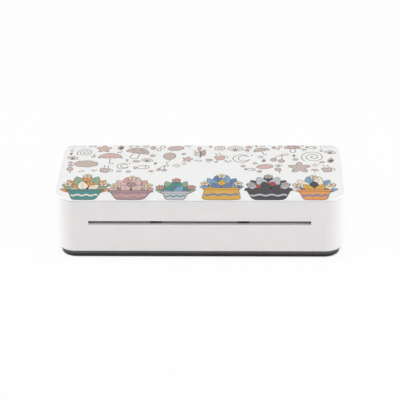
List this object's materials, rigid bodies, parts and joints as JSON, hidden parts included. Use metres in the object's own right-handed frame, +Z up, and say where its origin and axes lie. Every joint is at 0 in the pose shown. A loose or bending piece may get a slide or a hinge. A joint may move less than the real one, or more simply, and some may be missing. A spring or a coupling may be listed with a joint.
{
  "type": "portable thermal printer",
  "caption": "Long low desktop printer with a full-width hinged lid over a paper bin, a front exit slot with a tear bar, side buttons and a dark base.",
  "frame": {"origin": "middle of the footprint on the surface under the feet", "axes": "+X to the printer's right along its length, -Y to the front with the paper slot, +Z up"},
  "size_m": [0.28, 0.117, 0.066],
  "materials": {
    "white_casing": "fine satin texture",
    "white_cover": "satin, printed top",
    "dark_base": "fine matt texture",
    "foot_rubber": "matt",
    "steel_screws": "plated",
    "grey_moulding": "moulded",
    "steel_pins": "ground",
    "zinc_sheet": "zinc plated",
    "spring_steel": "bright",
    "ribbon_film": "polyimide film",
    "tear_steel": "satin",
    "slot_plastic": "moulded",
    "dark_moulding": "moulded",
    "motor_steel": "plated",
    "clear_guide": "clear moulding",
    "circuit_board": "solder resist",
    "steel_shell": "bright",
    "pale_connector": "moulded",
    "cell_sleeve": "shrink sleeve",
    "acetal": "moulded",
    "platen_rubber": "ground",
    "brass_pinion": "cut",
    "heatsink": "extruded",
    "ceramic": "glazed ceramic"
  },
  "bodies": {
    "body": {"body_shell": "white_casing", "base_tray": "dark_base", "rubber_feet": "foot_rubber", "base_screws": "steel_screws", "hinge_pins": "steel_pins", "paper_bin": "grey_moulding", "bin_screws": "steel_screws", "side_frame_left": "zinc_sheet", "side_frame_right": "zinc_sheet", "frame_screws": "steel_screws", "head_bracket": "zinc_sheet", "head_springs": "spring_steel", "head_ribbon": "ribbon_film", "tear_bar": "tear_steel", "exit_guide": "slot_plastic", "guide_screws": "steel_screws", "paper_guide": "dark_moulding", "paper_sensor": "dark_moulding", "idler_stud": "steel_pins", "compound_stud": "steel_pins", "motor_can": "motor_steel", "latch_spring": "spring_steel", "light_guide": "clear_guide", "side_board": "circuit_board", "tact_switch": "dark_moulding", "usb_port": "steel_shell", "main_board": "circuit_board", "board_chips": "dark_moulding", "board_connectors": "pale_connector", "battery_cells": "cell_sleeve", "battery_cradle": "dark_moulding"},
    "lid": {"top_cover": "white_cover", "lid_frame": "grey_moulding", "lid_screws": "steel_screws", "platen_bushes": "acetal"},
    "platen": {"platen_shaft": "steel_pins", "platen_rubber": "platen_rubber", "platen_gear": "acetal"},
    "idler": {"idler_gear": "acetal"},
    "compound": {"compound_gear": "acetal"},
    "rotor": {"motor_pinion": "brass_pinion", "motor_shaft": "steel_pins"},
    "head": {"head_heatsink": "heatsink", "head_ceramic": "ceramic", "head_board": "circuit_board", "head_pivot_pins": "steel_pins"},
    "roller": {"guide_roller": "steel_pins"},
    "latch": {"latch_shaft": "steel_pins", "latch_hook_left": "acetal", "latch_hook_right": "acetal"},
    "release": {"release_button": "white_casing"},
    "power": {"power_button": "white_casing"}
  },
  "joints": [
    {"name": "lid_hinge", "type": "hinge", "parent": "body", "child": "lid", "pos_m": [0, 0.0515, 0.0602], "axis": [-1, 0, 0], "range_deg": [0, 95]},
    {"name": "platen_spin", "type": "hinge", "parent": "lid", "child": "platen", "pos_m": [0, -0.038, 0.048], "axis": [1, 0, 0], "continuous": true},
    {"name": "idler_spin", "type": "hinge", "parent": "body", "child": "idler", "pos_m": [-0.1185, -0.036, 0.03041], "axis": [1, 0, 0], "continuous": true},
    {"name": "compound_spin", "type": "hinge", "parent": "body", "child": "compound", "pos_m": [-0.1215, -0.0231, 0.0238], "axis": [1, 0, 0], "continuous": true},
    {"name": "rotor_spin", "type": "hinge", "parent": "body", "child": "rotor", "pos_m": [-0.1245, -0.0075, 0.0198], "axis": [1, 0, 0], "continuous": true},
    {"name": "head_pivot", "type": "hinge", "parent": "body", "child": "head", "pos_m": [0, -0.024, 0.036], "axis": [1, 0, 0], "range_deg": [0, 1.5], "stiffness_Nm_per_rad": 3, "springref_deg": -1.72, "deforming": ["head_springs", "head_ribbon"]},
    {"name": "roller_spin", "type": "hinge", "parent": "body", "child": "roller", "pos_m": [0, -0.008, 0.038], "axis": [1, 0, 0], "continuous": true},
    {"name": "release_press", "type": "slide", "parent": "body", "child": "release", "axis": [-1, 0, 0], "range_m": [0, 0.0018], "stiffness_N_per_m": 1500, "springref_m": -0.0008},
    {"name": "latch_turn", "type": "hinge", "parent": "body", "child": "latch", "pos_m": [0, -0.05, 0.03], "axis": [1, 0, 0], "range_deg": [0, 10], "deforming": ["latch_spring"]},
    {"name": "power_press", "type": "slide", "parent": "body", "child": "power", "axis": [-1, 0, 0], "range_m": [0, 0.0007], "stiffness_N_per_m": 2500, "springref_m": -0.0004}
  ],
  "couplings": [
    {"joint": "idler_spin", "follows": "platen_spin", "ratio": -0.83333},
    {"joint": "compound_spin", "follows": "platen_spin", "ratio": 1.6667},
    {"joint": "rotor_spin", "follows": "platen_spin", "ratio": -5},
    {"joint": "latch_turn", "follows": "release_press", "rad_per_m": 96.96}
  ]
}
